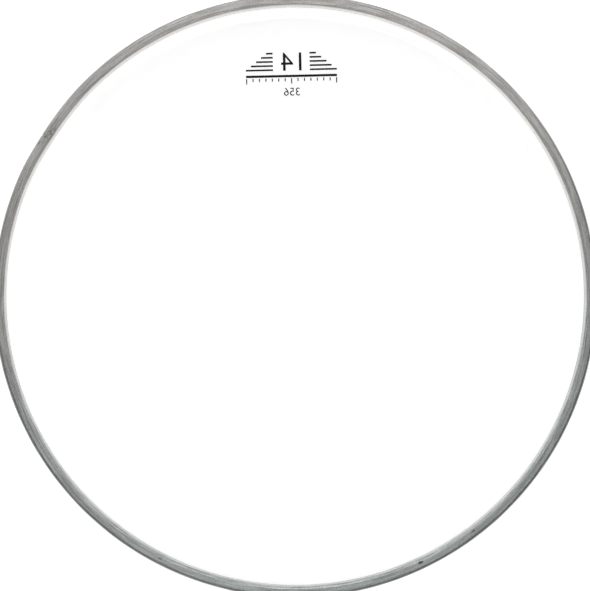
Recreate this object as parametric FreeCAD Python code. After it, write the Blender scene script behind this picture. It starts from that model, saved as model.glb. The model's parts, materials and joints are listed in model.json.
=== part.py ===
"""Snare-side drum head: a clear polyester film, formed into a shallow dish, whose rim is cast in resin
inside an aluminium channel hoop.

Frame: the origin is the centre of the film's outer face, which lies on the table. +Z points away from the
table, to the side where the drum shell enters, so the closed web of the hoop is on top and its open mouth
faces down. +Y points to the print side of the head. All sizes are in millimetres and degrees.
"""

import FreeCAD
import Part

import math
import os

from FreeCAD import Vector

# Drum that the head fits
SHELL_DIAMETER = 355.6
SHELL_CLEARANCE = 0.9

# Aluminium channel, in section
CHANNEL_WIDTH = 6.8
HOOP_HEIGHT = 9.5
INNER_WALL_DROP = 1.0
WALL_THICKNESS = 1.0
CORNER_RADIUS = 1.9
LIP_RADIUS = 0.3

# Butt seam of the rolled channel and its staked splice
SEAM_AZIMUTH = 147.7
SEAM_GAP = 0.25
SPLICE_LENGTH = 40.0
SPLICE_THICKNESS = 1.0
SPLICE_CLEARANCE = 0.15
STAKE_OFFSET = 4.2
STAKE_RADIUS = 0.6
STAKE_DEPTH = 0.6
STAKE_BITE = 0.3
STAKE_CLEARANCE = 0.05

# Film: flat face, collar and rim
FILM_THICKNESS = 0.075
COLLAR_HEIGHT = 7.0
COLLAR_ANGLE = 52.0
COLLAR_BEND_RADIUS = 4.0
RIM_BEND_RADIUS = 3.0
RIM_STANDOFF = 2.0
RIM_END_CLEARANCE = 0.5
RIM_HOLE_DIAMETER = 2.0
RIM_HOLE_PITCH = 12.0

# Cast resin
RESIN_BELOW_LIP = 0.5

# Radii that follow
inner_radius = SHELL_DIAMETER / 2 + SHELL_CLEARANCE
outer_radius = inner_radius + CHANNEL_WIDTH
cavity_inner_radius = inner_radius + WALL_THICKNESS
cavity_outer_radius = outer_radius - WALL_THICKNESS
web_middle_radius = (inner_radius + outer_radius) / 2
cavity_corner_radius = CORNER_RADIUS - WALL_THICKNESS
rim_radius = cavity_inner_radius + RIM_STANDOFF

# Heights that follow
mouth_z = COLLAR_HEIGHT
inner_lip_z = mouth_z + INNER_WALL_DROP
resin_z = inner_lip_z + RESIN_BELOW_LIP
top_z = mouth_z + HOOP_HEIGHT
cavity_top_z = top_z - WALL_THICKNESS
splice_bottom_z = cavity_top_z - SPLICE_THICKNESS
rim_end_z = splice_bottom_z - RIM_END_CLEARANCE

ORIGIN = Vector(0, 0, 0)
Z_AXIS = Vector(0, 0, 1)
FULL_TURN = 360.0


def rounded_face(corners):
    """Closed face in the XZ plane from (x, z, radius) corners, rounded wherever the radius is not 0."""
    places = [Vector(x, 0, z) for x, z, _ in corners]
    edges = []
    cut_points = []
    for i, (_, _, radius) in enumerate(corners):
        here = places[i]
        back = (places[i - 1] - here).normalize()
        ahead = (places[(i + 1) % len(places)] - here).normalize()
        if radius == 0:
            cut_points.append((here, here))
            continue
        half_angle = back.getAngle(ahead) / 2
        reach = radius / math.tan(half_angle)
        bisector = (back + ahead).normalize()
        centre = here + bisector * (radius / math.sin(half_angle))
        start = here + back * reach
        end = here + ahead * reach
        cut_points.append((start, end))
        edges.append(Part.Arc(start, centre - bisector * radius, end).toShape())
    for i, (_, leave) in enumerate(cut_points):
        arrive = cut_points[(i + 1) % len(cut_points)][0]
        edges.append(Part.LineSegment(leave, arrive).toShape())
    return Part.Face(Part.Wire(Part.__sortEdges__(edges)))


def arc_degrees(length, radius):
    """Angle that an arc of this length covers at this radius."""
    return math.degrees(length / radius)


def turned(shape, degrees):
    """Copy of the shape turned about Z."""
    copy = shape.copy()
    copy.rotate(ORIGIN, Z_AXIS, degrees)
    return copy


def around_web(shape, offset):
    """Copy of a shape at the middle of the web, moved along the hoop from the seam by an arc length."""
    moved = shape.copy()
    moved.translate(Vector(web_middle_radius, 0, 0))
    return turned(moved, SEAM_AZIMUTH + arc_degrees(offset, web_middle_radius))


def stakes():
    """Arc offsets from the seam of the two stakes, one on each side."""
    return (-STAKE_OFFSET, STAKE_OFFSET)


def make_channel():
    """Rolled aluminium channel with its butt seam, and the stakes punched through its web into the splice."""
    corners = [
        (outer_radius, mouth_z, LIP_RADIUS),
        (outer_radius, top_z, CORNER_RADIUS),
        (inner_radius, top_z, CORNER_RADIUS),
        (inner_radius, inner_lip_z, LIP_RADIUS),
        (cavity_inner_radius, inner_lip_z, LIP_RADIUS),
        (cavity_inner_radius, cavity_top_z, cavity_corner_radius),
        (cavity_outer_radius, cavity_top_z, cavity_corner_radius),
        (cavity_outer_radius, mouth_z, LIP_RADIUS),
    ]
    gap = arc_degrees(SEAM_GAP, web_middle_radius)
    ring = rounded_face(corners).revolve(ORIGIN, Z_AXIS, FULL_TURN - gap)
    channel = turned(ring, SEAM_AZIMUTH + gap / 2)
    bump = Part.makeCone(STAKE_RADIUS / 2, STAKE_RADIUS, STAKE_BITE, Vector(0, 0, cavity_top_z - STAKE_BITE))
    dent = Part.makeCone(0, STAKE_RADIUS, STAKE_DEPTH, Vector(0, 0, top_z - STAKE_DEPTH))
    channel = channel.fuse([around_web(bump, offset) for offset in stakes()])
    return channel.cut([around_web(dent, offset) for offset in stakes()])


def splice_strip():
    """Flat curved strip that lies under the web and bridges the seam."""
    width = CHANNEL_WIDTH - 2 * CORNER_RADIUS - 2 * SPLICE_CLEARANCE
    low = web_middle_radius - width / 2
    high = web_middle_radius + width / 2
    corners = [
        (low, splice_bottom_z, 0),
        (high, splice_bottom_z, 0),
        (high, cavity_top_z, 0),
        (low, cavity_top_z, 0),
    ]
    span = arc_degrees(SPLICE_LENGTH, web_middle_radius)
    return turned(rounded_face(corners).revolve(ORIGIN, Z_AXIS, span), SEAM_AZIMUTH - span / 2)


def make_splice():
    """Splice strip with a recess for each stake."""
    recess = Part.makeCone(
        STAKE_RADIUS / 2 + STAKE_CLEARANCE,
        STAKE_RADIUS + STAKE_CLEARANCE,
        STAKE_BITE + STAKE_CLEARANCE,
        Vector(0, 0, cavity_top_z - STAKE_BITE - STAKE_CLEARANCE),
    )
    return splice_strip().cut([around_web(recess, offset) for offset in stakes()])


def film_face_corners(inset):
    """Corners of one face of the film, from the axis to the rim's end, at this depth from the outer face."""
    slope = math.radians(COLLAR_ANGLE)
    shift = inset * math.tan(slope / 2)
    flat_corner_x = rim_radius - resin_z / math.tan(slope)
    rim_turn = math.radians(90 - COLLAR_ANGLE)
    rim_shift = inset * math.tan(rim_turn / 2)
    wrap = FILM_THICKNESS - inset
    return [
        (0, inset, 0),
        (flat_corner_x - shift, inset, COLLAR_BEND_RADIUS + wrap),
        (rim_radius - inset, resin_z + rim_shift, RIM_BEND_RADIUS + wrap),
        (rim_radius - inset, rim_end_z, 0),
    ]


def make_film():
    """One formed sheet: the flat face, the collar that rises to the hoop, and the perforated rim."""
    outline = film_face_corners(0) + film_face_corners(FILM_THICKNESS)[::-1]
    sheet = rounded_face(outline).revolve(ORIGIN, Z_AXIS, FULL_TURN)
    bend_reach = (RIM_BEND_RADIUS + FILM_THICKNESS) * math.tan(math.radians(90 - COLLAR_ANGLE) / 2)
    hole_z = (resin_z + bend_reach + rim_end_z) / 2
    drill = Part.makeCylinder(
        RIM_HOLE_DIAMETER / 2,
        CHANNEL_WIDTH,
        Vector(inner_radius, 0, hole_z),
        Vector(1, 0, 0),
    )
    count = round(2 * math.pi * rim_radius / RIM_HOLE_PITCH)
    return sheet.cut([turned(drill, SEAM_AZIMUTH + FULL_TURN * i / count) for i in range(count)])


def make_resin(film):
    """Resin cast in the channel round the splice and the film's rim, and through the rim's holes."""
    corners = [
        (cavity_inner_radius, resin_z, 0),
        (cavity_outer_radius, resin_z, 0),
        (cavity_outer_radius, cavity_top_z, cavity_corner_radius),
        (cavity_inner_radius, cavity_top_z, cavity_corner_radius),
    ]
    fill = rounded_face(corners).revolve(ORIGIN, Z_AXIS, FULL_TURN)
    return fill.cut([film, splice_strip()])


def main():
    film = make_film()
    nodes = {
        "film": film,
        "hoop_channel": make_channel(),
        "seam_splice": make_splice(),
        "resin_fill": make_resin(film),
    }
    os.makedirs("parts", exist_ok=True)
    for name, shape in nodes.items():
        solid = Part.makeCompound(shape.Solids)
        solid.exportStep(f"parts/{name}.step")
        print(name, len(shape.Solids), "solid,", round(shape.Volume, 1), "mm3, valid", shape.isValid())


main()
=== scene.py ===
"""Looks of a clear snare-side drum head that lies on its film, seen square-on from the shell side.

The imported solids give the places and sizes. The channel, the film and the resin get finer meshes that stand
for their nodes, a size mark is printed on the film, and the splice inside the channel keeps its own mesh.
Lengths are in metres, noise scales per metre. The front is the photograph's lower side, towards -Y.
"""

import json
import math
from collections import namedtuple

import bmesh
import bpy
import numpy as np
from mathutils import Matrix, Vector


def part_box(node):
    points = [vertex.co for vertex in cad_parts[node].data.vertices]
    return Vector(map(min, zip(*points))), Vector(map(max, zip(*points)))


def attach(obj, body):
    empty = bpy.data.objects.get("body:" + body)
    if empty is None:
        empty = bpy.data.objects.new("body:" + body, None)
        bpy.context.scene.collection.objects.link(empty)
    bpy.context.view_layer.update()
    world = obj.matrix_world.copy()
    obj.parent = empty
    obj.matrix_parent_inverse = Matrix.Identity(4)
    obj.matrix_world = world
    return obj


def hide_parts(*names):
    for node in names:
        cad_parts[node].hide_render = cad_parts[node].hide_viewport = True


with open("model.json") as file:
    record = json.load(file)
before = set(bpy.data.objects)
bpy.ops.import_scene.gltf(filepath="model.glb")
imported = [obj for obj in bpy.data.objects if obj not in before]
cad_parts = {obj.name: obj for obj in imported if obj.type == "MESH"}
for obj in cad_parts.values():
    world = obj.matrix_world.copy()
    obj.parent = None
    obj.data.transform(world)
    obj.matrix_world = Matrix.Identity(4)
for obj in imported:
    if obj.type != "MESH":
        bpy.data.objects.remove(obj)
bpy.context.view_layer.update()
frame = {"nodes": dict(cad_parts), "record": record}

MM = 0.001
FULL_TURN = 2 * math.pi

# Places read from the frame
mounts = {mount["name"]: mount for mount in frame["record"]["mounts"]}
hoop_low, hoop_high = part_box("hoop_channel")
_, film_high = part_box("film")
resin_low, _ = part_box("resin_fill")
splice_low, splice_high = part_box("seam_splice")
splice_middle = (splice_low + splice_high) / 2

BORE_RADIUS = mounts["shell_bore"]["dims"]["r_mm"] * MM
OUTER_RADIUS = mounts["hoop_outside"]["dims"]["r_mm"] * MM
WEB_RADIUS = (BORE_RADIUS + OUTER_RADIUS) / 2
MOUTH_Z = hoop_low.z
TOP_Z = hoop_high.z
RIM_RADIUS = film_high.x
RIM_END_Z = film_high.z
RESIN_Z = resin_low.z
SEAM_AZIMUTH = math.atan2(splice_middle.y, splice_middle.x)

# Half of the hoop's length, along the middle of its web
HALF_LOOP = math.pi * WEB_RADIUS

# Section of the channel
WALL = 1.0 * MM
CORNER = 1.9 * MM
LIP = 0.3 * MM
INNER_WALL_DROP = 1.0 * MM
INNER_LIP_Z = MOUTH_Z + INNER_WALL_DROP
CAVITY_INNER = BORE_RADIUS + WALL
CAVITY_OUTER = OUTER_RADIUS - WALL
CAVITY_TOP = TOP_Z - WALL
CAVITY_CORNER = CORNER - WALL

# Seam and the punch marks beside it; reaches and offsets are arc lengths from the seam
SEAM_GAP = 0.25 * MM
SEAM_BEVEL = 0.08 * MM
SEAM_STEP = 0.06 * MM
SEAM_STEP_REACH = 8 * MM
SEAM_INSET = 0.65 * MM
INSET_REACH_AFTER = 16 * MM
INSET_REACH_BEFORE = 30 * MM
STAKE_OFFSETS = (-4.2 * MM, 4.2 * MM)
STAKE_RADIUS = 0.6 * MM
STAKE_DEPTH = 0.6 * MM

# Film; a slack wave has its radians per metre in X and in Y, and its phase
FILM_THICKNESS = 0.075 * MM
COLLAR_ANGLE = math.radians(52)
COLLAR_FOOT = RIM_RADIUS - RESIN_Z / math.tan(COLLAR_ANGLE)
COLLAR_BEND = 4.0 * MM
RIM_BEND = 3.0 * MM
RIPPLE_HEIGHT = 0.02 * MM
RIPPLE_COUNT = 84
SECOND_RIPPLE_COUNT = 145
SECOND_RIPPLE_SHARE = 0.5
SECOND_RIPPLE_PHASE = 2
SLACK_HEIGHT = 0.03 * MM
SLACK_EDGE = 10 * MM
SLACK_WAVES = ((52, 31, 0), (-23, 47, 1))

# Resin
SKIN_GAP = 0.02 * MM
MENISCUS = 0.45 * MM

# Printed mark: a size in inches over a rule with ticks, and the same size in millimetres, seen from its back
SIZE_IN_INCHES = "14"
SIZE_IN_MM = "356"
INK_THICKNESS = 0.015 * MM
INK_TILT = math.radians(1.3)
INK_CORNER_SHARE = 0.2
MARK_X = -2.3 * MM
RULE_Y = 137.4 * MM
RULE_LENGTH = 57 * MM
RULE_WIDTH = 1.5 * MM
NUMBER_HEIGHT = 11.5 * MM
SMALL_NUMBER_HEIGHT = 5.0 * MM
NUMBER_GAP = 2.6 * MM
TICK_COUNT = 15
LONG_TICK_STEP = 7
TICK_WIDTH = 0.7 * MM
TICK_LENGTH = 2.0 * MM
LONG_TICK_LENGTH = 3.4 * MM
TICK_GAP = 0.6 * MM
LINE_COUNT = 5
LINE_WIDTH = 1.1 * MM
LINE_START = 11.5 * MM
LINE_STEP = 3.2 * MM

# Fineness of the meshes
ARC_STEPS = 8
HOOP_STEPS = 480
SEAM_STEPS = 80
SEAM_FINE_REACH = 12 * MM
OUTER_WALL_STEPS = 8
WEB_STEPS = 20
INNER_WALL_STEPS = 6
LIP_STEPS = 2
CAVITY_STEPS = 3
FILM_RING_STEPS = 720
FLAT_STEPS = 30
COLLAR_STEPS = 10
RIM_STEPS = 4
RESIN_RING_STEPS = 480
RESIN_STEPS = 6
MENISCUS_STEPS = 12
MERGE_DISTANCE = 1e-7
CREASE_ANGLE = math.radians(40)

# Dark specks and scratches on the web: azimuth in degrees, radius, length along the hoop, width, strength
SPECKS = (
    (-64.9, 180.9 * MM, 3.8 * MM, 1.6 * MM, 0.85),
    (-53.0, 181.2 * MM, 3.2 * MM, 1.0 * MM, 0.7),
    (-117.2, 181.4 * MM, 2.0 * MM, 1.1 * MM, 0.55),
    (-94.9, 182.1 * MM, 2.4 * MM, 1.2 * MM, 0.6),
    (76.0, 183.1 * MM, 36 * MM, 0.9 * MM, 0.3),
    (132.0, 179.8 * MM, 32 * MM, 0.8 * MM, 0.3),
    (97.5, 180.1 * MM, 30 * MM, 0.8 * MM, 0.25),
    (55.5, 179.8 * MM, 18 * MM, 0.8 * MM, 0.25),
)

# Dirt at the seam: arc length from it, radius, length along the hoop, width, strength
SEAM_SPOTS = (
    (0.3 * MM, 182.2 * MM, 1.6 * MM, 1.6 * MM, 0.45),
    (0.0, 179.6 * MM, 1.7 * MM, 1.2 * MM, 0.15),
    (-3.4 * MM, 180.2 * MM, 1.8 * MM, 1.7 * MM, 0.5),
    (-7.0 * MM, 179.7 * MM, 2.8 * MM, 1.3 * MM, 0.4),
    (5.1 * MM, 183.4 * MM, 2.6 * MM, 0.9 * MM, 0.55),
)
# Strength of the painted shade in the punch marks
STAKE_PAINTED_SHADE = 0.1

# Where a spot fades, by the square of the distance in half sizes, and what the crumbs multiply that by
SPOT_EDGE = (0.4, 1.3)
CRUMBLING = (0.35, 1.8)

# Noises on the metal: scale across the hoop, scale along it, detail
METAL_NOISES = {
    "broad": (260, 9, 2),
    "streaks": (1300, 70, 3),
    "lines": (5200, 14, 4),
    "scratches": (3100, 60, 2),
    "grain": (900, 900, 3),
    "crumbs": (3600, 2200, 3),
}
NOISE_SPAN = (0.3, 0.7)

# Aluminium, plain and where it is scratched or dull, with painted shade on the outer corner, and dirt that
# also paints shade into the punch marks
HOOP_TONE = (0.80, 0.80, 0.795, 1)
SPLICE_TONE = (0.70, 0.70, 0.69, 1)
BRIGHT_ALUMINIUM = (0.88, 0.88, 0.87, 1)
DULL_ALUMINIUM = (0.22, 0.22, 0.22, 1)
PAINTED_SHADE_ALUMINIUM = (0.16, 0.165, 0.165, 1)
DIRT_AND_DENT_SHADE = (0.03, 0.03, 0.03, 1)
# Painted light colour that multiplies the metal's colour: warmer at the back, cooler at the front
BACK_PAINTED_LIGHT_TINT = (1.03, 1.0, 0.975, 1)
FRONT_PAINTED_LIGHT_TINT = (0.945, 1.0, 0.995, 1)
SCRATCH_LEVELS = (0.64, 0.72)
SCRATCH_STRENGTH = 0.3

# Dulling at each noise's low and high end, and by the stain before the seam.
# At the bore it is multiplied by one value at the front and by another at the back, which paints shade at the
# front of the bore and light at its back.
DULLING = {"broad": (0.0, 0.1), "streaks": (0.0, 0.42), "lines": (0.0, 0.12), "grain": (-0.1, 0.1)}
SEAM_STAIN = 0.08
SEAM_STAIN_EDGE = (8 * MM, 18 * MM)
BORE_PAINTED_LIGHT_AND_SHADE = (1.4, 0.3)
BORE_PAINTED_LIGHT_AND_SHADE_Y = (-0.6 * OUTER_RADIUS, 0.8 * OUTER_RADIUS)

# Painted shade on the outer corner and down the outer wall, standing for a dark reflection, far from the
# shaded front and on it; the wall's value multiplies the web's
SHADED_SIDE_AZIMUTH = math.radians(-80)
SHADED_SIDE_SPAN = (-0.6 * OUTER_RADIUS, 0.35 * OUTER_RADIUS)
WEB_EDGE_SHADE = (0.35, 0.88)
WALL_EDGE_SHADE = (0.4, 0.5)
EDGE_SHADE_REACH = 1.3 * CORNER
EDGE_SHADE_FADE = 0.5 * CORNER
EDGE_SHADE_HEIGHTS = (TOP_Z - 0.25 * CORNER, TOP_Z - 0.02 * CORNER)
EDGE_SHADE_UNEVENNESS = 0.8 * MM
EDGE_SHADE_STREAK_LEVELS = (0.2, 0.6)
EDGE_SHADE_STREAKS = (0.8, 1.0)

# Scuffs: where they fade out before and after the seam, and the levels of the grain that they show at
SCUFF_EDGE_BEFORE = (2 * MM, 15 * MM)
SCUFF_EDGE_AFTER = (0.5 * MM, 4 * MM)
SCUFF_LEVELS = (0.45, 0.6)
SCUFF_STRENGTH = 0.22

# Shine and relief of the metal
HOOP_ROUGHNESS = 0.3
SPLICE_ROUGHNESS = 0.36
LINE_LEVELS = (0.25, 0.75)
LINE_ROUGHNESS = (-0.05, 0.06)
DIRT_ROUGHNESS = 0.25
BRUSHING = 0.6
BRUSHING_TURN = 0.25
GRAIN_RELIEF = 0.4
METAL_BUMP = 0.25
METAL_RELIEF = 0.01 * MM

# Film finish: reflection, dust, and rub marks that haze it; a cover is the share of the film that they hide
FILM_COLOUR = (0.94, 0.95, 0.95, 1)
FILM_CLEARNESS = 0.995
FILM_REFLECTANCE = 0.059
NEUTRAL_BLEND = 0.5
SCHLICK_POWER = 5
DUST_SCALE = 900
DUST_DETAIL = 3
DUST_LEVELS = (0.74, 0.82)
DUST_COVER = 0.3
FILM_RUBS = (300, 20, 4)
FILM_RUB_LEVELS = (0.35, 0.75)
FILM_ROUGHNESS = (0.03, 0.12)
HAZE_LEVELS = (0.5, 0.85)
HAZE_COVER = 0.02
MATT_COVER = 0.1

# Resin finish
RESIN_SCALE = 700
RESIN_DETAIL = 3
DARK_RESIN = (0.62, 0.55, 0.38, 1)
PALE_RESIN = (0.78, 0.72, 0.56, 1)
BUBBLE_COLOUR = (0.88, 0.86, 0.78, 1)
BUBBLE_SCALE = 1.6
BUBBLE_EDGE = (0.08, 0.16)
RESIN_ROUGHNESS = (0.14, 0.3)
RESIN_SCATTER = 0.3
SCATTER_COLOUR = (1.0, 0.7, 0.4)
SCATTER_DEPTH = 1 * MM
RESIN_BUMP = 0.3
RESIN_RELIEF = 0.05 * MM

# Ink finish
INK_SCALE = 1500
INK_DETAIL = 4
DARK_INK = (0.003, 0.003, 0.0035, 1)
PALE_INK = (0.011, 0.011, 0.012, 1)
INK_ROUGHNESS = (0.35, 0.55)
INK_SHINE = 0.15

# Photograph: its size, and where the hoop's outer edge lies in it, counted from the first pixel's centre
PHOTO_WIDTH = 590
PHOTO_HEIGHT = 591
RING_RADIUS_PX = 301.4
RING_CENTRE_PX = (294.72, 295.6)
CAMERA_DISTANCE = 1.05
CAMERA_TILT = math.radians(1.25)
SENSOR_MM = 36.0

# Floor and lamp
FLOOR_HALF = 6.0
FLOOR_Z = -0.3 * MM
FLOOR_PAINT = 0.62
FLOOR_GLOW = 0.83
LAMP_POWER = 25
LAMP_WIDTH = 7.0
LAMP_HEIGHT = 2.4
LAMP_DISTANCE = 3.0
LAMP_AZIMUTH = math.radians(95)
LAMP_ELEVATION = math.radians(33)

# Studio: grey levels of the walls and of the panel overhead, whose angles are from straight up.
# A span is where one level gives way to the next, as the cosine of the angle to that azimuth.
PALE_WALL_AZIMUTH = math.radians(100)
PALE_WALL_SPAN = (-0.5, 0.9)
DARK_WALL = 0.072
PALE_WALL = 0.24
LOW_WALL_AZIMUTH = math.radians(-90)
LOW_WALL_TOP = math.radians(32)
SIDE_LOW_WALL_SPAN = (-0.9, -0.4)
FRONT_LOW_WALL_SPAN = (0.1, 0.8)
BACK_LOW_WALL = 0.22
SIDE_LOW_WALL = 1.05
FRONT_LOW_WALL = 0.9
BACK_PANEL_AZIMUTH = math.radians(85)
BACK_PANEL_SPAN = (0.2, 1.0)
FRONT_PANEL_AZIMUTH = math.radians(-100)
FRONT_PANEL_SPAN = (0.5, 1.0)
SIDE_PANEL = 1.08
BACK_PANEL = 1.8
FRONT_PANEL = 1.6
PANEL_ANGLE = math.radians(33)
PANEL_BLUR = math.radians(4)
HOLE = 0.05
HOLE_ANGLE = math.radians(16)
HOLE_BLUR = math.radians(3)
WHITE = 1.0

# Places of the factor, the two colours and the result on a mix node that mixes colours
COLOUR_MIX_INPUTS = (0, 6, 7)
COLOUR_MIX_OUTPUT = 2

# Place on the hoop: radius, arc length along it, height
Ring = namedtuple("Ring", "radius along height")


def grey(level):
    """Grey colour of this level."""
    return (level, level, level, 1)


def unit(vector):
    """Vector of length 1 the same way."""
    return vector / np.linalg.norm(vector)


def arc_points(start, centre, end):
    """Points along the shorter arc about a centre, both ends included."""
    first = math.atan2(*(start - centre)[::-1])
    last = math.atan2(*(end - centre)[::-1])
    sweep_angle = (last - first + math.pi) % FULL_TURN - math.pi
    angles = first + sweep_angle * np.linspace(0, 1, ARC_STEPS + 1)
    radius = np.linalg.norm(start - centre)
    return [centre + radius * np.array((math.cos(a), math.sin(a))) for a in angles]


def rounded_outline(corners, closed=True):
    """(r, z) points of an outline from (r, z, radius, steps) corners.

    Each corner with a radius becomes an arc, and the straight stretch after it is cut into that many steps.
    """
    places = [np.array(corner[:2]) for corner in corners]
    turns = []
    for i, (_, _, radius, _) in enumerate(corners):
        here = places[i]
        if radius == 0:
            turns.append([here])
            continue
        back = unit(places[i - 1] - here)
        ahead = unit(places[(i + 1) % len(places)] - here)
        half_angle = math.acos(back @ ahead) / 2
        reach = radius / math.tan(half_angle)
        centre = here + unit(back + ahead) * radius / math.sin(half_angle)
        turns.append(arc_points(here + back * reach, centre, here + ahead * reach))
    points = []
    for i, (_, _, _, steps) in enumerate(corners):
        points.extend(turns[i])
        if i == len(corners) - 1 and not closed:
            break
        leave = turns[i][-1]
        arrive = turns[(i + 1) % len(corners)][0]
        points.extend(leave + (arrive - leave) * k / steps for k in range(1, steps))
    return np.array(points)


def outward_normals(outline):
    """Unit normals of a closed outline, on the outside of one that runs counter-clockwise."""
    along = np.roll(outline, -1, axis=0) - np.roll(outline, 1, axis=0)
    normals = np.stack([along[:, 1], -along[:, 0]], axis=1)
    return normals / np.linalg.norm(normals, axis=1, keepdims=True)


def swept_mesh(name, section_at, angles, closed_outline, closed_ring):
    """Object whose section at each angle round Z, from the seam, is section_at(angle)."""
    sections = [section_at(angle) for angle in angles]
    size = len(sections[0])
    vertices = []
    for angle, section in zip(angles, sections):
        azimuth = SEAM_AZIMUTH + angle
        for radius, z in section:
            vertices.append((radius * math.cos(azimuth), radius * math.sin(azimuth), z))
    faces = []
    for i in range(len(angles) if closed_ring else len(angles) - 1):
        here = i * size
        there = (i + 1) % len(angles) * size
        for j in range(size if closed_outline else size - 1):
            k = (j + 1) % size
            faces.append((here + j, there + j, there + k, here + k))
    if closed_outline and not closed_ring:
        faces.append(tuple(range(size)))
        faces.append(tuple(range(len(vertices) - 1, len(vertices) - size - 1, -1)))
    return mesh_object(name, vertices, faces)


def mesh_object(name, vertices, faces):
    """Smooth-shaded object from vertices and faces, with doubled points merged."""
    mesh = bpy.data.meshes.new(name)
    mesh.from_pydata(vertices, [], faces)
    finish_mesh(mesh)
    return linked_object(name, mesh)


def finish_mesh(mesh):
    """Merges doubled points and shades the mesh smooth with crisp edges."""
    work = bmesh.new()
    work.from_mesh(mesh)
    bmesh.ops.remove_doubles(work, verts=work.verts, dist=MERGE_DISTANCE)
    bmesh.ops.dissolve_degenerate(work, edges=work.edges, dist=MERGE_DISTANCE)
    for face in work.faces:
        face.smooth = True
    work.to_mesh(mesh)
    work.free()
    mesh.set_sharp_from_angle(angle=CREASE_ANGLE)


def linked_object(name, data):
    """New object in the scene that shows a mesh, a curve, a lamp or a camera."""
    shown = bpy.data.objects.new(name, data)
    bpy.context.scene.collection.objects.link(shown)
    return shown


def place_piece(piece, node, material):
    """Lets a new piece stand for a CAD node, with this material."""
    piece.data.materials.append(material)
    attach(piece, "root")
    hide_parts(node)


def seam_inset(angle):
    """How far the rolled channel and what it holds lie inwards at this angle from the seam."""
    after = angle * WEB_RADIUS / INSET_REACH_AFTER
    before = (FULL_TURN - angle) * WEB_RADIUS / INSET_REACH_BEFORE
    return SEAM_INSET * (math.exp(-after ** 2) + math.exp(-before ** 2))


class Nodes:
    """Short ways to build one node tree."""

    def __init__(self, tree):
        self.tree = tree
        tree.nodes.clear()

    def add(self, kind, inputs=None, **settings):
        """New node with its settings, and with values or sockets on its inputs."""
        node = self.tree.nodes.new(kind)
        for name, value in settings.items():
            setattr(node, name, value)
        self.wire(node, inputs or {})
        return node

    def wire(self, node, inputs):
        """Puts values or sockets on a node's inputs, by their names or places."""
        for name, value in inputs.items():
            self.feed(node.inputs[name], value)

    def feed(self, socket, value):
        """Links a socket to an input, or writes a plain value there."""
        if isinstance(value, bpy.types.NodeSocket):
            self.tree.links.new(value, socket)
        else:
            socket.default_value = value

    def math(self, operation, *values):
        """Result of a math node."""
        return self.add("ShaderNodeMath", dict(enumerate(values)), operation=operation).outputs[0]

    def chain(self, operation, first, *others):
        """Result of one operation over any number of values."""
        result = first
        for other in others:
            result = self.math(operation, result, other)
        return result

    def span(self, value, low, high, to_low=0.0, to_high=1.0):
        """Value mapped smoothly from one span to another and held at the ends."""
        inputs = dict(enumerate((value, low, high, to_low, to_high)))
        return self.add("ShaderNodeMapRange", inputs, interpolation_type="SMOOTHSTEP").outputs[0]

    def spread(self, noise, to_low, to_high):
        """Noise mapped from the span where most of it lies to another."""
        return self.span(noise, *NOISE_SPAN, to_low, to_high)

    def dot(self, first, second):
        """Dot product of two vectors."""
        node = self.add("ShaderNodeVectorMath", {0: first, 1: second}, operation="DOT_PRODUCT")
        return node.outputs["Value"]

    def vector(self, x, y, z):
        """Vector from three values."""
        return self.add("ShaderNodeCombineXYZ", {"X": x, "Y": y, "Z": z}).outputs[0]

    def split(self, vector):
        """X, Y and Z of a vector."""
        return self.add("ShaderNodeSeparateXYZ", {"Vector": vector}).outputs

    def blend(self, factor, first, second, blend_type="MIX"):
        """Mix of two colours."""
        node = self.add("ShaderNodeMix", data_type="RGBA", blend_type=blend_type)
        self.wire(node, dict(zip(COLOUR_MIX_INPUTS, (factor, first, second))))
        return node.outputs[COLOUR_MIX_OUTPUT]

    def bump(self, relief, strength, distance):
        """Normal of a surface with this relief."""
        inputs = {"Height": relief, "Strength": strength, "Distance": distance}
        return self.add("ShaderNodeBump", inputs).outputs[0]

    def noise(self, place, detail):
        """Noise, about 0.5, at a place that is already scaled."""
        return self.add("ShaderNodeTexNoise", {"Vector": place, "Scale": 1.0, "Detail": detail}).outputs[0]

    def ring_noise(self, ring, across_per_m, along_per_m, detail):
        """Noise with its own scale across and along the hoop."""
        place = self.vector(
            self.math("MULTIPLY", ring.radius, across_per_m),
            self.math("MULTIPLY", ring.height, across_per_m),
            self.math("MULTIPLY", ring.along, along_per_m),
        )
        return self.noise(place, detail)

    def object_place(self):
        """Place in the part's frame."""
        return self.add("ShaderNodeTexCoord").outputs["Object"]

    def scaled_place(self, per_m):
        """Place in the part's frame times a scale."""
        scale = (per_m, per_m, per_m)
        node = self.add("ShaderNodeVectorMath", {0: self.object_place(), 1: scale}, operation="MULTIPLY")
        return node.outputs[0]

    def ring_place(self):
        """Radius, arc length along the hoop and height; the arc length jumps only at the seam."""
        turn = {"Vector": self.object_place(), "Angle": math.pi - SEAM_AZIMUTH}
        turned = self.add("ShaderNodeVectorRotate", turn, rotation_type="Z_AXIS")
        x, y, z = self.split(turned.outputs[0])
        radius = self.math("SQRT", self.math("ADD", self.math("MULTIPLY", x, x), self.math("MULTIPLY", y, y)))
        along = self.math("MULTIPLY", self.math("ARCTAN2", y, x), WEB_RADIUS)
        return Ring(radius, along, z)


def empty_material(name):
    """Material with nothing in its node tree, and its node helper."""
    material = bpy.data.materials.new(name)
    material.use_nodes = True
    return material, Nodes(material.node_tree)


def shaded_material(name):
    """Material, its node helper, its Principled shader and the output that shows it."""
    material, nodes = empty_material(name)
    shader = nodes.add("ShaderNodeBsdfPrincipled")
    output = nodes.add("ShaderNodeOutputMaterial", {"Surface": shader.outputs[0]})
    return material, nodes, shader, output


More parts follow.
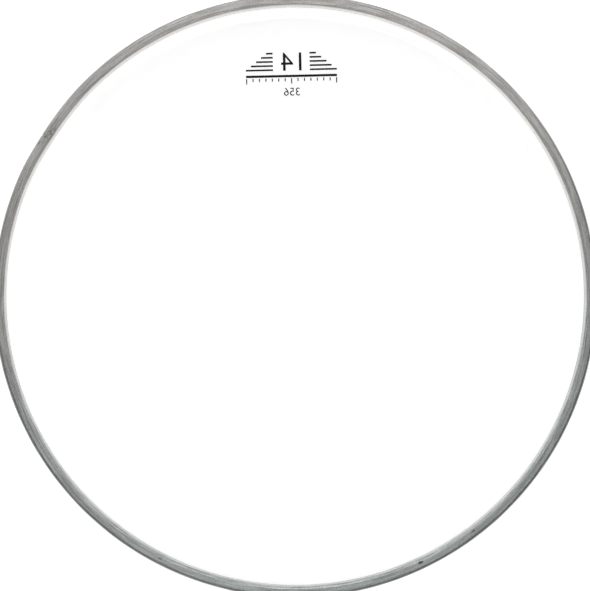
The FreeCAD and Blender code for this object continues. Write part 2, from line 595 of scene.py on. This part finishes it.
def dirt_and_dent_shade_spots():
    """(arc from the seam, radius, length, width, strength) of every dark spot on the web, with painted shade
    in the punch marks.
    """
    spots = list(SEAM_SPOTS)
    for offset in STAKE_OFFSETS:
        # Painted shade in each punch mark
        radius = WEB_RADIUS - seam_inset(offset / WEB_RADIUS % FULL_TURN)
        spots.append((offset, radius, 2 * STAKE_RADIUS, 2 * STAKE_RADIUS, STAKE_PAINTED_SHADE))
    for azimuth, radius, length, width, strength in SPECKS:
        spots.append(((math.radians(azimuth) - SEAM_AZIMUTH) * WEB_RADIUS, radius, length, width, strength))
    return spots


def spot_mask(nodes, ring, crumbled, spot):
    """Strength inside one dark spot, 0 outside it, with a crumbled edge."""
    from_seam, radius, length, width, strength = spot
    across = nodes.math("DIVIDE", nodes.math("SUBTRACT", ring.radius, radius), width / 2)
    away = nodes.math("SUBTRACT", ring.along, from_seam - HALF_LOOP)
    lengthwise = nodes.math("DIVIDE", nodes.math("WRAP", away, HALF_LOOP, -HALF_LOOP), length / 2)
    distance = nodes.math("MULTIPLY_ADD", across, across, nodes.math("MULTIPLY", lengthwise, lengthwise))
    ragged = nodes.math("MULTIPLY", distance, crumbled)
    return nodes.span(ragged, *SPOT_EDGE, strength, 0.0)


def dirt_and_dent_shade_mask(nodes, ring, noise):
    """Strength inside the dark spots of the web, painted shade in the punch marks among them, 0 elsewhere."""
    crumbled = nodes.spread(noise["crumbs"], *CRUMBLING)
    masks = [spot_mask(nodes, ring, crumbled, spot) for spot in dirt_and_dent_shade_spots()]
    return nodes.chain("MAXIMUM", *masks)


def before_seam(nodes, ring):
    """Arc length that is left up to the seam."""
    return nodes.math("SUBTRACT", HALF_LOOP, ring.along)


def after_seam(nodes, ring):
    """Arc length since the seam."""
    return nodes.math("ADD", HALF_LOOP, ring.along)


def seam_scuffs(nodes, ring, noise):
    """Strength of the scuffs on the web beside the seam."""
    before = nodes.span(before_seam(nodes, ring), *SCUFF_EDGE_BEFORE, 1.0, 0.0)
    after = nodes.span(after_seam(nodes, ring), *SCUFF_EDGE_AFTER, 1.0, 0.0)
    near_seam = nodes.math("MAXIMUM", before, after)
    on_web = nodes.span(ring.height, TOP_Z - CORNER, TOP_Z)
    in_grain = nodes.span(noise["grain"], *SCUFF_LEVELS, 0.0, SCUFF_STRENGTH)
    return nodes.chain("MULTIPLY", near_seam, on_web, in_grain)


def painted_edge_shade(nodes, ring, noise, towards_shaded_side):
    """Strength of the painted shade on the outer part of the web and down the wall, strongest at the front.
    """
    uneven = nodes.math("MULTIPLY_ADD", noise["grain"], EDGE_SHADE_UNEVENNESS, ring.radius)
    start = OUTER_RADIUS + EDGE_SHADE_UNEVENNESS / 2 - EDGE_SHADE_REACH
    outward = nodes.span(uneven, start, start + EDGE_SHADE_FADE)
    streaked = nodes.span(noise["streaks"], *EDGE_SHADE_STREAK_LEVELS, *EDGE_SHADE_STREAKS)
    wall_shade = nodes.span(towards_shaded_side, *SHADED_SIDE_SPAN, *WALL_EDGE_SHADE)
    on_wall = nodes.span(ring.height, *EDGE_SHADE_HEIGHTS, wall_shade, 1.0)
    side_shade = nodes.span(towards_shaded_side, *SHADED_SIDE_SPAN, *WEB_EDGE_SHADE)
    return nodes.chain("MULTIPLY", outward, streaked, on_wall, side_shade)


def dullness(nodes, ring, noise):
    """How dull the metal is: by its noises and the stain before the seam, with painted shade at the front of
    the bore and painted light at its back.
    """
    parts = [nodes.spread(noise[kind], *ends) for kind, ends in DULLING.items()]
    stain = nodes.span(before_seam(nodes, ring), *SEAM_STAIN_EDGE, SEAM_STAIN, 0.0)
    front_to_back = nodes.split(nodes.object_place())["Y"]
    # Painted shade at the front of the bore and painted light at its back
    bore_light_and_shade = nodes.span(front_to_back, *BORE_PAINTED_LIGHT_AND_SHADE_Y, *BORE_PAINTED_LIGHT_AND_SHADE)
    painted_bore_light_and_shade = nodes.span(ring.radius, BORE_RADIUS, BORE_RADIUS + CORNER, bore_light_and_shade, 1.0)
    return nodes.math("MULTIPLY", nodes.chain("ADD", *parts, stain), painted_bore_light_and_shade)


def metal_colour(nodes, ring, noise, tone, dirt_and_dent_shade):
    """Colour of the metal: plain, then dull and scratched, with painted shade on the outer corner, dirt and
    painted shade in the punch marks, and a painted light tint from back to front.
    """
    # The front, where the painted shade on the outer corner is strongest
    shaded_side_direction = (math.cos(SHADED_SIDE_AZIMUTH), math.sin(SHADED_SIDE_AZIMUTH), 0.0)
    towards_shaded_side = nodes.dot(nodes.object_place(), shaded_side_direction)
    scratched = nodes.span(noise["scratches"], *SCRATCH_LEVELS, 0.0, SCRATCH_STRENGTH)
    colour = nodes.blend(dullness(nodes, ring, noise), tone, DULL_ALUMINIUM)
    colour = nodes.blend(scratched, colour, BRIGHT_ALUMINIUM)
    # Painted shade on the outer corner and down the outer wall, strongest at the front
    colour = nodes.blend(painted_edge_shade(nodes, ring, noise, towards_shaded_side), colour, PAINTED_SHADE_ALUMINIUM)
    colour = nodes.blend(dirt_and_dent_shade, colour, DIRT_AND_DENT_SHADE)
    # Painted light colour, warmer at the back and cooler at the front
    painted_light_tint = nodes.blend(nodes.span(towards_shaded_side, -OUTER_RADIUS, OUTER_RADIUS), BACK_PAINTED_LIGHT_TINT, FRONT_PAINTED_LIGHT_TINT)
    return nodes.blend(1.0, colour, painted_light_tint, "MULTIPLY")


def brushed_aluminium(name, tone, roughness):
    """Aluminium with streaks along the hoop, painted shade on the outer corner, scuffs at the seam and dark
    spots.
    """
    material, nodes, shader, _ = shaded_material(name)
    ring = nodes.ring_place()
    noise = {kind: nodes.ring_noise(ring, *scales) for kind, scales in METAL_NOISES.items()}
    dirt_and_dent_shade = nodes.math("MAXIMUM", seam_scuffs(nodes, ring, noise), dirt_and_dent_shade_mask(nodes, ring, noise))
    smoothest, roughest = (roughness + change for change in LINE_ROUGHNESS)
    lined = nodes.span(noise["lines"], *LINE_LEVELS, smoothest, roughest)
    relief = nodes.math("MULTIPLY_ADD", noise["grain"], GRAIN_RELIEF, noise["lines"])
    tangent = nodes.add("ShaderNodeTangent", direction_type="RADIAL", axis="Z")
    nodes.wire(shader, {
        "Base Color": metal_colour(nodes, ring, noise, tone, dirt_and_dent_shade),
        "Roughness": nodes.math("MULTIPLY_ADD", dirt_and_dent_shade, DIRT_ROUGHNESS, lined),
        "Metallic": 1.0,
        "Anisotropic": BRUSHING,
        "Anisotropic Rotation": BRUSHING_TURN,
        "Tangent": tangent.outputs[0],
        "Normal": nodes.bump(relief, METAL_BUMP, METAL_RELIEF),
    })
    return material


def clear_film():
    """Clear polyester: it reflects by its angle and lets the rest through, with faint dust and rub marks."""
    material, nodes, shader, output = shaded_material("clear_film")
    specks = nodes.noise(nodes.scaled_place(DUST_SCALE), DUST_DETAIL)
    rubbed = nodes.ring_noise(nodes.ring_place(), *FILM_RUBS)
    dust = nodes.span(specks, *DUST_LEVELS, 0.0, DUST_COVER)
    haze = nodes.span(rubbed, *HAZE_LEVELS, 0.0, HAZE_COVER)
    cover = nodes.math("MAXIMUM", dust, haze)
    tilt = nodes.add("ShaderNodeLayerWeight", {"Blend": NEUTRAL_BLEND}).outputs["Facing"]
    grazing = nodes.math("POWER", tilt, SCHLICK_POWER)
    gloss = nodes.math("MULTIPLY_ADD", grazing, 1 - FILM_REFLECTANCE, FILM_REFLECTANCE)
    nodes.wire(shader, {
        "Base Color": FILM_COLOUR,
        "Metallic": nodes.span(cover, 0.0, MATT_COVER, 1.0, 0.0),
        "Roughness": nodes.span(rubbed, *FILM_RUB_LEVELS, *FILM_ROUGHNESS),
    })
    clear = nodes.add("ShaderNodeBsdfTransparent", {"Color": grey(FILM_CLEARNESS)})
    seen = nodes.math("ADD", gloss, cover)
    mixed = nodes.add("ShaderNodeMixShader", {0: seen, 1: clear.outputs[0], 2: shader.outputs[0]})
    nodes.wire(output, {"Surface": mixed.outputs[0]})
    return material


def cast_resin():
    """Pale amber resin with small bubbles and a faintly uneven face."""
    material, nodes, shader, _ = shaded_material("cast_resin")
    place = nodes.scaled_place(RESIN_SCALE)
    cloud = nodes.noise(place, RESIN_DETAIL)
    cells = nodes.add("ShaderNodeTexVoronoi", {"Vector": place, "Scale": BUBBLE_SCALE}).outputs["Distance"]
    bubbles = nodes.span(cells, *BUBBLE_EDGE, 1.0, 0.0)
    body = nodes.blend(cloud, DARK_RESIN, PALE_RESIN)
    nodes.wire(shader, {
        "Base Color": nodes.blend(bubbles, body, BUBBLE_COLOUR),
        "Roughness": nodes.spread(cloud, *RESIN_ROUGHNESS),
        "Subsurface Weight": RESIN_SCATTER,
        "Subsurface Radius": SCATTER_COLOUR,
        "Subsurface Scale": SCATTER_DEPTH,
        "Normal": nodes.bump(cloud, RESIN_BUMP, RESIN_RELIEF),
    })
    return material


def black_ink():
    """Screen-printed ink with slight mottling."""
    material, nodes, shader, _ = shaded_material("black_ink")
    mottle = nodes.noise(nodes.scaled_place(INK_SCALE), INK_DETAIL)
    nodes.wire(shader, {
        "Base Color": nodes.blend(mottle, DARK_INK, PALE_INK),
        "Roughness": nodes.spread(mottle, *INK_ROUGHNESS),
        "Specular IOR Level": INK_SHINE,
    })
    return material


def hoop_outline():
    """(r, z) points of the channel's section."""
    return rounded_outline([
        (OUTER_RADIUS, MOUTH_Z, LIP, OUTER_WALL_STEPS),
        (OUTER_RADIUS, TOP_Z, CORNER, WEB_STEPS),
        (BORE_RADIUS, TOP_Z, CORNER, INNER_WALL_STEPS),
        (BORE_RADIUS, INNER_LIP_Z, LIP, LIP_STEPS),
        (CAVITY_INNER, INNER_LIP_Z, LIP, CAVITY_STEPS),
        (CAVITY_INNER, CAVITY_TOP, CAVITY_CORNER, CAVITY_STEPS),
        (CAVITY_OUTER, CAVITY_TOP, CAVITY_CORNER, CAVITY_STEPS),
        (CAVITY_OUTER, MOUTH_Z, LIP, LIP_STEPS),
    ])


def hoop_angles():
    """Angles of the channel's sections, from one end at the seam to the other, closest beside the seam."""
    half_gap = SEAM_GAP / 2 / WEB_RADIUS
    fine = half_gap + np.linspace(0, SEAM_FINE_REACH, SEAM_STEPS + 1) / WEB_RADIUS
    coarse = np.linspace(fine[-1], FULL_TURN - fine[-1], HOOP_STEPS + 1)
    return np.concatenate([fine, coarse[1:-1], FULL_TURN - fine[::-1]])


def stake_depth(from_seam, radius):
    """Depth of the punch marks at these radii, this arc length from the seam."""
    depth = np.zeros(len(radius))
    for offset in STAKE_OFFSETS:
        distance = np.hypot(from_seam - offset, radius - WEB_RADIUS)
        depth += STAKE_DEPTH * np.clip(1 - distance / STAKE_RADIUS, 0, 1)
    return depth


def make_hoop():
    """Rolled channel with a bevelled butt seam, one end a little low, and punch marks beside it."""
    outline = hoop_outline()
    normals = outward_normals(outline)
    on_top = outline[:, 1] > TOP_Z - WALL / 2

    def section_at(angle):
        from_start = angle * WEB_RADIUS
        from_end = (FULL_TURN - angle) * WEB_RADIUS
        from_seam = from_start if from_start < from_end else -from_end
        bevel = max(0.0, SEAM_BEVEL - (abs(from_seam) - SEAM_GAP / 2))
        section = outline - normals * bevel
        section[:, 0] -= seam_inset(angle)
        section[:, 1] -= on_top * stake_depth(from_seam, outline[:, 0])
        section[:, 1] -= SEAM_STEP * math.exp(-from_end / SEAM_STEP_REACH)
        return section

    hoop = swept_mesh("hoop", section_at, hoop_angles(), closed_outline=True, closed_ring=False)
    finish = brushed_aluminium("hoop_aluminium", HOOP_TONE, HOOP_ROUGHNESS)
    place_piece(hoop, "hoop_channel", finish)


def film_face(inset):
    """(r, z, radius) corners of one face of the film, axis to rim, this deep from the outer face."""
    flat_z = INK_THICKNESS + inset
    flat_corner = COLLAR_FOOT - inset * math.tan(COLLAR_ANGLE / 2)
    rim_turn = math.pi / 2 - COLLAR_ANGLE
    wrap = FILM_THICKNESS - inset
    return [
        (0, flat_z, 0),
        (flat_corner, flat_z, COLLAR_BEND + wrap),
        (RIM_RADIUS - inset, RESIN_Z + inset * math.tan(rim_turn / 2), RIM_BEND + wrap),
        (RIM_RADIUS - inset, RIM_END_Z, 0),
    ]


def film_outline():
    """(r, z) points of the film's section, out along its outer face and back along its inner one."""
    corners = film_face(0) + film_face(FILM_THICKNESS)[::-1]
    outwards = [FLAT_STEPS, COLLAR_STEPS, RIM_STEPS]
    steps = outwards + [1] + outwards[::-1] + [1]
    return rounded_outline([corner + (step,) for corner, step in zip(corners, steps)], closed=False)


def film_slack(radius, angle):
    """Rise of the slack flat face at these radii and this angle from the seam, from 0 to 1."""
    x = radius * math.cos(angle)
    y = radius * math.sin(angle)
    waves = [np.sin(per_x * x + per_y * y + phase) for per_x, per_y, phase in SLACK_WAVES]
    return (1 + sum(waves) / len(waves)) / 2


def collar_ripple(angle):
    """Depth of the collar's ripples at an angle, in ripple heights, never below 0."""
    first = 1 + math.sin(RIPPLE_COUNT * angle)
    second = 1 + math.sin(SECOND_RIPPLE_COUNT * angle + SECOND_RIPPLE_PHASE)
    return first + SECOND_RIPPLE_SHARE * second


def make_film():
    """Formed sheet with a slightly slack flat face and faint forming ripples round the collar."""
    outline = film_outline()
    radius, height = outline.T
    flat_end = COLLAR_FOOT - COLLAR_BEND
    on_flat = np.clip((flat_end - radius) / SLACK_EDGE, 0, 1)
    lifted = np.clip(height / RESIN_Z, 0, 1) * (radius > flat_end)
    on_collar = np.sin(math.pi * lifted)

    def section_at(angle):
        section = outline.copy()
        section[:, 0] -= RIPPLE_HEIGHT * on_collar * collar_ripple(angle) + seam_inset(angle) * lifted
        section[:, 1] += SLACK_HEIGHT * on_flat * film_slack(radius, angle)
        return section

    angles = np.linspace(0, FULL_TURN, FILM_RING_STEPS, endpoint=False)
    film = swept_mesh("film_sheet", section_at, angles, closed_outline=False, closed_ring=True)
    place_piece(film, "film", clear_film())


def hollow_face(low, high):
    """Points of a hollow resin face between two radii, highest at its middle, without its two ends."""
    across = np.linspace(0, 1, MENISCUS_STEPS + 1)[1:-1]
    return np.stack([low + (high - low) * across, RESIN_Z + MENISCUS * np.sin(math.pi * across)], axis=1)


def resin_outline():
    """(r, z) points of the resin's section, with a slot for the film's rim."""
    film_inner = RIM_RADIUS - FILM_THICKNESS - SKIN_GAP
    film_outer = RIM_RADIUS + SKIN_GAP
    slot_end = RIM_END_Z + SKIN_GAP
    inner = CAVITY_INNER + SKIN_GAP
    outer = CAVITY_OUTER - SKIN_GAP
    top = CAVITY_TOP - SKIN_GAP
    body = rounded_outline([
        (outer, RESIN_Z, 0, RESIN_STEPS),
        (outer, top, CAVITY_CORNER, RESIN_STEPS),
        (inner, top, CAVITY_CORNER, RESIN_STEPS),
        (inner, RESIN_Z, 0, 1),
    ], closed=False)
    slot = np.array([
        (film_inner, RESIN_Z),
        (film_inner, slot_end),
        (film_outer, slot_end),
        (film_outer, RESIN_Z),
    ])
    return np.concatenate([body, hollow_face(inner, film_inner), slot, hollow_face(film_outer, outer)])


def make_resin():
    """Resin in the channel, with a hollow face on each side of the film where it wet the walls."""
    outline = resin_outline()

    def section_at(angle):
        return outline - np.array((seam_inset(angle), 0))

    angles = np.linspace(0, FULL_TURN, RESIN_RING_STEPS, endpoint=False)
    resin = swept_mesh("resin", section_at, angles, closed_outline=True, closed_ring=True)
    place_piece(resin, "resin_fill", cast_resin())


def number_mesh(text, height):
    """Flat numeral mesh of this height, centred in X, with its foot at Y 0."""
    curve = bpy.data.curves.new("number", "FONT")
    curve.body = text
    curve.extrude = INK_THICKNESS / 2
    shown = linked_object("number", curve)
    bpy.context.view_layer.update()
    mesh = bpy.data.meshes.new_from_object(shown)
    bpy.data.objects.remove(shown)
    places = np.array([vertex.co for vertex in mesh.vertices])
    low = places.min(axis=0)
    high = places.max(axis=0)
    scale = height / (high[1] - low[1])
    for vertex in mesh.vertices:
        vertex.co.x = (vertex.co.x - (low[0] + high[0]) / 2) * scale
        vertex.co.y = (vertex.co.y - low[1]) * scale
    return mesh


def plate_mesh(width, height):
    """Flat ink plate with slightly rounded corners, centred in X, with its foot at Y 0."""
    x = width / 2
    corner = min(width, height) * INK_CORNER_SHARE
    places = [(x, 0), (x, height), (-x, height), (-x, 0)]
    outline = rounded_outline([place + (corner, 1) for place in places])
    count = len(outline)
    half = INK_THICKNESS / 2
    vertices = [(px, py, -half) for px, py in outline] + [(px, py, half) for px, py in outline]
    faces = [tuple(range(count))[::-1], tuple(range(count, 2 * count))]
    faces += [(i, (i + 1) % count, count + (i + 1) % count, count + i) for i in range(count)]
    mesh = bpy.data.meshes.new("plate")
    mesh.from_pydata(vertices, [], faces)
    return mesh


def side_lines(foot):
    """(mesh, x, y) of the lines on both sides of the large number, shorter towards its top."""
    spacing = (NUMBER_HEIGHT - LINE_WIDTH) / (LINE_COUNT - 1)
    lines = []
    for i in range(LINE_COUNT):
        length = RULE_LENGTH / 2 - LINE_START - i * LINE_STEP
        for side in (-1, 1):
            x = side * (LINE_START + length / 2)
            lines.append((plate_mesh(length, LINE_WIDTH), x, foot + i * spacing))
    return lines


def rule_ticks(top):
    """(mesh, x, y) of the ticks under the rule, with a long one at each end and in the middle."""
    spacing = (RULE_LENGTH - TICK_WIDTH) / (TICK_COUNT - 1)
    ticks = []
    for i in range(TICK_COUNT):
        length = TICK_LENGTH if i % LONG_TICK_STEP else LONG_TICK_LENGTH
        x = (i - (TICK_COUNT - 1) / 2) * spacing
        ticks.append((plate_mesh(TICK_WIDTH, length), x, top - length))
    return ticks


def mark_pieces():
    """(mesh, x, y) of every piece of the mark, as it reads from outside, with the rule's middle at 0."""
    number_foot = RULE_WIDTH / 2 + NUMBER_GAP
    tick_top = -RULE_WIDTH / 2 - TICK_GAP
    small_foot = tick_top - LONG_TICK_LENGTH - NUMBER_GAP - SMALL_NUMBER_HEIGHT
    return [
        (plate_mesh(RULE_LENGTH, RULE_WIDTH), 0.0, -RULE_WIDTH / 2),
        (number_mesh(SIZE_IN_INCHES, NUMBER_HEIGHT), 0.0, number_foot),
        *side_lines(number_foot),
        *rule_ticks(tick_top),
        (number_mesh(SIZE_IN_MM, SMALL_NUMBER_HEIGHT), 0.0, small_foot),
    ]


def make_print():
    """Size mark on the film's outer face, so it reads backwards from the shell side."""
    work = bmesh.new()
    for mesh, x, y in mark_pieces():
        for vertex in mesh.vertices:
            vertex.co.x += x
            vertex.co.y += y
        work.from_mesh(mesh)
    for vertex in work.verts:
        x = -vertex.co.x
        y = vertex.co.y
        vertex.co.x = MARK_X + x * math.cos(INK_TILT) - y * math.sin(INK_TILT)
        vertex.co.y = RULE_Y + x * math.sin(INK_TILT) + y * math.cos(INK_TILT)
        vertex.co.z += INK_THICKNESS / 2
    bmesh.ops.reverse_faces(work, faces=work.faces)
    ink = bpy.data.meshes.new("size_mark")
    work.to_mesh(ink)
    work.free()
    finish_mesh(ink)
    ink.materials.append(black_ink())
    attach(linked_object("size_mark", ink), "root")


def dress_splice():
    """Material for the splice, which stays as its CAD mesh inside the channel."""
    splice = frame["nodes"]["seam_splice"]
    splice.data.materials.clear()
    splice.data.materials.append(brushed_aluminium("splice_aluminium", SPLICE_TONE, SPLICE_ROUGHNESS))


def floor_white():
    """Pale paint that glows for the camera and in reflections, so it looks white and still takes a shadow."""
    material, nodes = empty_material("floor_white")
    rays = nodes.add("ShaderNodeLightPath").outputs
    seen = nodes.chain("MAXIMUM", *(rays[f"Is {kind} Ray"] for kind in ("Camera", "Glossy", "Transmission")))
    paint = nodes.add("ShaderNodeBsdfDiffuse", {"Color": grey(FLOOR_PAINT)})
    glow = nodes.add("ShaderNodeEmission", {"Strength": nodes.math("MULTIPLY", seen, FLOOR_GLOW)})
    both = nodes.add("ShaderNodeAddShader", {0: paint.outputs[0], 1: glow.outputs[0]})
    nodes.add("ShaderNodeOutputMaterial", {"Surface": both.outputs[0]})
    return material


def make_floor():
    """Floor just under the film."""
    sides = ((-1, -1), (1, -1), (1, 1), (-1, 1))
    corners = [(x * FLOOR_HALF, y * FLOOR_HALF, FLOOR_Z) for x, y in sides]
    floor = mesh_object("floor", corners, [(0, 1, 2, 3)])
    floor.data.materials.append(floor_white())


def make_lamp():
    """Large soft box low behind the printed side."""
    lamp = bpy.data.lights.new("soft_box", "AREA")
    lamp.shape = "RECTANGLE"
    lamp.size = LAMP_WIDTH
    lamp.size_y = LAMP_HEIGHT
    lamp.energy = LAMP_POWER
    box = linked_object("soft_box", lamp)
    level = LAMP_DISTANCE * math.cos(LAMP_ELEVATION)
    box.location = (
        level * math.cos(LAMP_AZIMUTH),
        level * math.sin(LAMP_AZIMUTH),
        LAMP_DISTANCE * math.sin(LAMP_ELEVATION),
    )
    box.rotation_mode = "QUATERNION"
    box.rotation_quaternion = (-box.location).to_track_quat("-Z", "Y")


def towards(nodes, level, azimuth):
    """1 where a level direction points to this azimuth, 0 square to it and -1 opposite."""
    return nodes.dot(level, (math.cos(azimuth), math.sin(azimuth), 0.0))


def overhead(nodes, up, angle, blur):
    """1 within this angle of straight up and 0 outside it, with a soft edge."""
    return nodes.span(up, math.cos(angle + blur), math.cos(angle - blur))


def studio_walls(nodes, level, up):
    """Dim walls, paler at the back, over low walls that are dim at the back and bright elsewhere."""
    pale = nodes.span(towards(nodes, level, PALE_WALL_AZIMUTH), *PALE_WALL_SPAN)
    walls = nodes.blend(pale, grey(DARK_WALL), grey(PALE_WALL))
    front = towards(nodes, level, LOW_WALL_AZIMUTH)
    low = nodes.blend(nodes.span(front, *SIDE_LOW_WALL_SPAN), grey(BACK_LOW_WALL), grey(SIDE_LOW_WALL))
    low = nodes.blend(nodes.span(front, *FRONT_LOW_WALL_SPAN), low, grey(FRONT_LOW_WALL))
    return nodes.blend(nodes.span(up, 0.0, math.sin(LOW_WALL_TOP), 1.0, 0.0), walls, low)


def studio_panel(nodes, level):
    """Panel overhead, brightest at the back and the front."""
    back = nodes.span(towards(nodes, level, BACK_PANEL_AZIMUTH), *BACK_PANEL_SPAN)
    front = nodes.span(towards(nodes, level, FRONT_PANEL_AZIMUTH), *FRONT_PANEL_SPAN)
    return nodes.blend(front, nodes.blend(back, grey(SIDE_PANEL), grey(BACK_PANEL)), grey(FRONT_PANEL))


def make_studio():
    """Studio with walls and a panel overhead with a dark hole for the camera, which itself sees white."""
    world = bpy.data.worlds.new("studio")
    bpy.context.scene.world = world
    world.use_nodes = True
    nodes = Nodes(world.node_tree)
    x, y, up = nodes.split(nodes.add("ShaderNodeTexCoord").outputs["Generated"])
    flat = nodes.add("ShaderNodeVectorMath", {0: nodes.vector(x, y, 0.0)}, operation="NORMALIZE")
    level = flat.outputs[0]
    tone = studio_walls(nodes, level, up)
    tone = nodes.blend(overhead(nodes, up, PANEL_ANGLE, PANEL_BLUR), tone, studio_panel(nodes, level))
    tone = nodes.blend(overhead(nodes, up, HOLE_ANGLE, HOLE_BLUR), tone, grey(HOLE))
    rays = nodes.add("ShaderNodeLightPath").outputs
    colour = nodes.blend(rays["Is Camera Ray"], tone, grey(WHITE))
    sky = nodes.add("ShaderNodeBackground", {"Color": colour, "Strength": 1.0})
    nodes.add("ShaderNodeOutputWorld", {"Surface": sky.outputs[0]})


def make_camera():
    """Camera above, tilted a little, framed so that the hoop's widest level lies where the photograph has it.

    The tilt brings the near side closer, which moves the middle of the ring's picture towards it.
    """
    pixels_per_m = RING_RADIUS_PX / OUTER_RADIUS
    lens = bpy.data.cameras.new("camera")
    lens.sensor_width = SENSOR_MM
    lens.lens = pixels_per_m * CAMERA_DISTANCE * SENSOR_MM / max(PHOTO_WIDTH, PHOTO_HEIGHT)
    camera = linked_object("camera", lens)
    x = ((PHOTO_WIDTH - 1) / 2 - RING_CENTRE_PX[0]) / pixels_per_m
    y = (RING_CENTRE_PX[1] - (PHOTO_HEIGHT - 1) / 2) / pixels_per_m
    middle_shift = OUTER_RADIUS ** 2 * math.sin(CAMERA_TILT) / CAMERA_DISTANCE
    back = CAMERA_DISTANCE * math.sin(CAMERA_TILT)
    above = CAMERA_DISTANCE * math.cos(CAMERA_TILT)
    camera.location = (x, y - middle_shift - back, TOP_Z - CORNER + above)
    camera.rotation_euler = (CAMERA_TILT, 0, 0)
    bpy.context.scene.camera = camera


make_hoop()
make_film()
make_resin()
make_print()
dress_splice()
make_floor()
make_lamp()
make_studio()
make_camera()
bpy.context.scene.view_settings.view_transform = "Standard"
